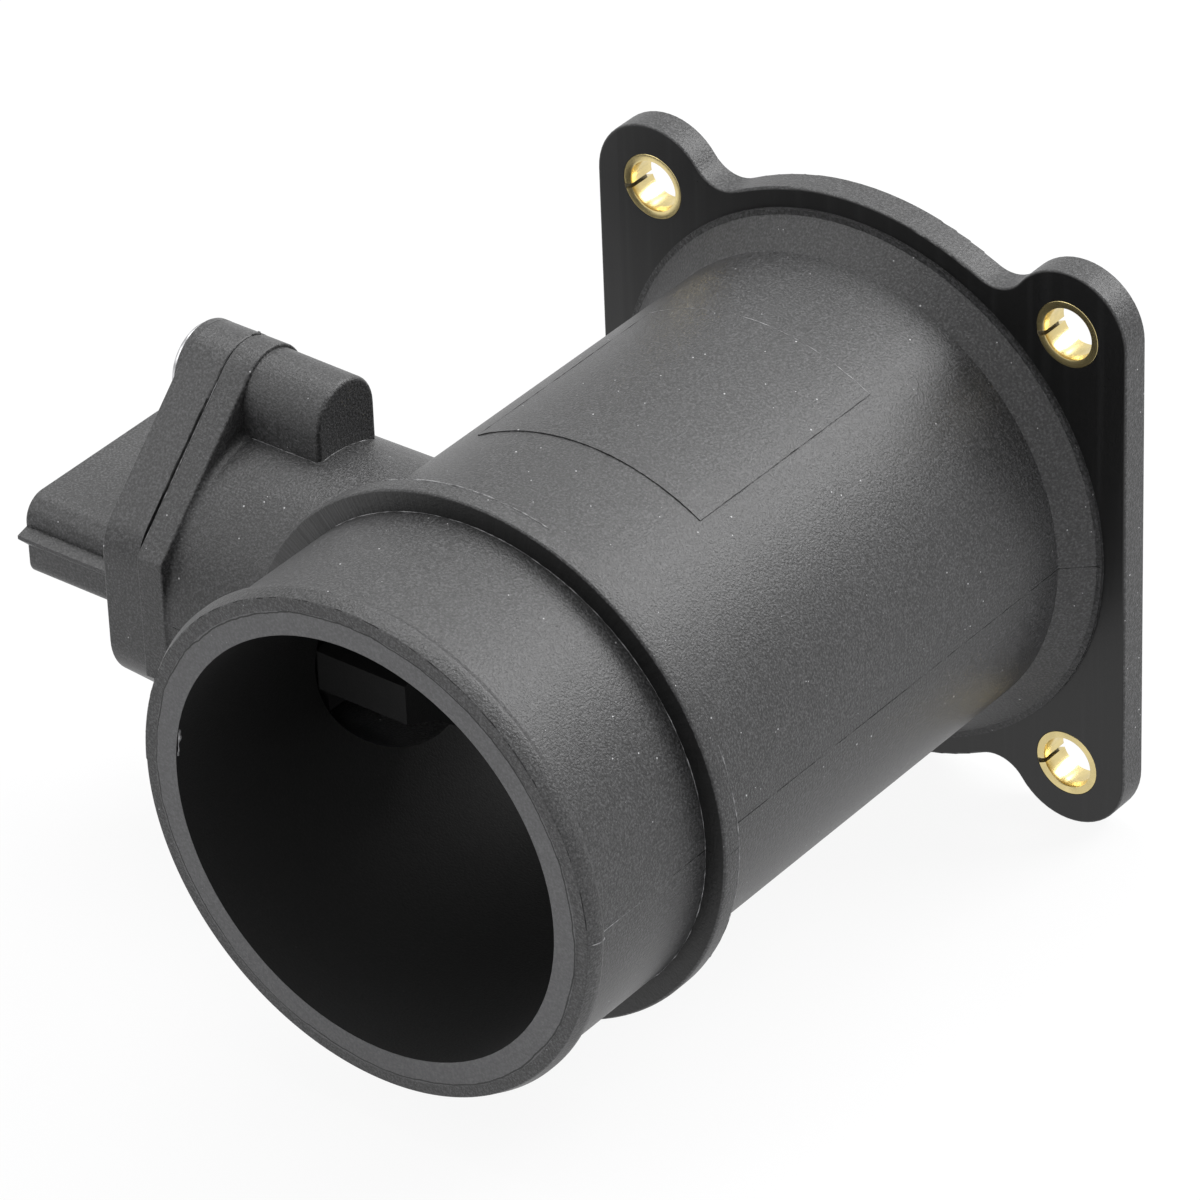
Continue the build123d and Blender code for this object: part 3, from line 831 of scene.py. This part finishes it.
def flash_scraps():
    """Scraps of flash: on the upper ear at the joint of the plates, and at the edge of the bore, the one at
    the bore with a painted glint.
    """
    angles = [math.radians(64 + 3 * i) for i in range(5)]
    ear = [(JOINT_X, SCREW_Y + EAR_R * math.cos(a), SCREW_Z + EAR_R * math.sin(a)) for a in angles]
    threads("ear_flash", [ear], 0.7, (0.2, 0.3, 0.3), duct_skin)
    # Painted glint on the burr at the edge of the bore
    burr = arc(BORE_R - 0.15, MOUTH_Y + 0.25, 167, 175, step=1.0)
    threads("glinting_bore_burr", [burr], 0.5, (0.9, 0.3, 0.9), glint_paint)


flange_bushes()
hose_bead()
hose_collar()
insert_pad()
ear_rims()
joint_lines()
edge_lines()
painted_glint_edges()
flash_scraps()


# Floor, light and camera


def pale_background(strength):
    """World that lights softly and shows white behind the object."""
    world = bpy.data.worlds.new("studio_air")
    bpy.context.scene.world = world
    world.use_nodes = True
    air = Maker(world.node_tree)
    light = air.add("ShaderNodeBackground", None, {"Color": WHITE, "Strength": strength})
    white = air.add("ShaderNodeBackground", None, {"Color": WHITE, "Strength": 1.0})
    shown = air.add("ShaderNodeMixShader", None, {0: air.seen(), 1: light, 2: white})
    air.add("ShaderNodeOutputWorld", None, {"Surface": shown}, output=None)


def floor():
    """Pale floor that the camera sees nearly white, with the shadow of the object."""
    finish = Finish("floor_paper", Specular_IOR_Level=0.1)
    fibre = finish.noise(0.2, detail=3.0)
    colour = finish.mix(fibre, grey(0.88), grey(0.92))
    finish.use(colour, fibre * 0.1 + 0.85, finish.bump(fibre, 0.05))
    paper = Wire(finish, finish.shader.outputs[0])
    white = finish.add("ShaderNodeEmission", None, {"Color": WHITE, "Strength": 1.0})
    shown = finish.add("ShaderNodeMixShader", None, {0: finish.seen() * 0.92, 1: paper, 2: white})
    half = 3.0
    square = ((-half, -half), (half, -half), (half, half), (-half, half))
    corners = [(x, y, cad_low.z) for x, y in square]
    mesh = bpy.data.meshes.new("floor")
    mesh.from_pydata(corners, [], [(0, 1, 2, 3)])
    mesh.materials.append(finish.show(shown))
    plane = bpy.data.objects.new("floor", mesh)
    bpy.context.scene.collection.objects.link(plane)


def soft_light(name, place, size, power):
    """Square lamp that looks at the middle of the duct."""
    lamp = bpy.data.lights.new(name, "AREA")
    lamp.size = size
    lamp.energy = power
    thing = bpy.data.objects.new(name, lamp)
    thing.location = place
    thing.rotation_euler = (Vector(DUCT_MIDDLE) - Vector(place)).to_track_quat("-Z", "Y").to_euler()
    bpy.context.scene.collection.objects.link(thing)


def camera():
    """The photograph's view, from far with a long lens: turned round, tilted down and rolled in degrees."""
    azimuth, elevation, roll = (math.radians(a) for a in (38.732, 33.378, -2.269))
    right = Vector((math.cos(azimuth), math.sin(azimuth), 0))
    forward = Vector((
        -math.sin(azimuth) * math.cos(elevation),
        math.cos(azimuth) * math.cos(elevation),
        -math.sin(elevation),
    ))
    up = right.cross(forward)
    turned_right = math.cos(roll) * right + math.sin(roll) * up
    turned_up = math.cos(roll) * up - math.sin(roll) * right
    data = bpy.data.cameras.new("camera")
    data.sensor_width = 36.0
    data.lens = 225.07
    data.clip_start, data.clip_end = 0.05, 20.0
    place = Vector((498.09, -681.58, 535.09)) * MM
    turn = Matrix((turned_right, turned_up, -forward)).transposed().to_4x4()
    thing = bpy.data.objects.new("camera", data)
    thing.matrix_world = Matrix.Translation(place) @ turn
    bpy.context.scene.collection.objects.link(thing)
    bpy.context.scene.camera = thing


pale_background(strength=0.28)
floor()
soft_light("soft_box_behind", (0.50, 0.85, 0.92), size=0.7, power=17.5)
soft_light("soft_box_top", (-0.3, 0.2, 1.25), size=1.0, power=13.0)
soft_light("soft_box_left", (-0.7, -0.8, 0.75), size=0.8, power=3.4)
camera()
bpy.context.scene.view_settings.view_transform = "Standard"
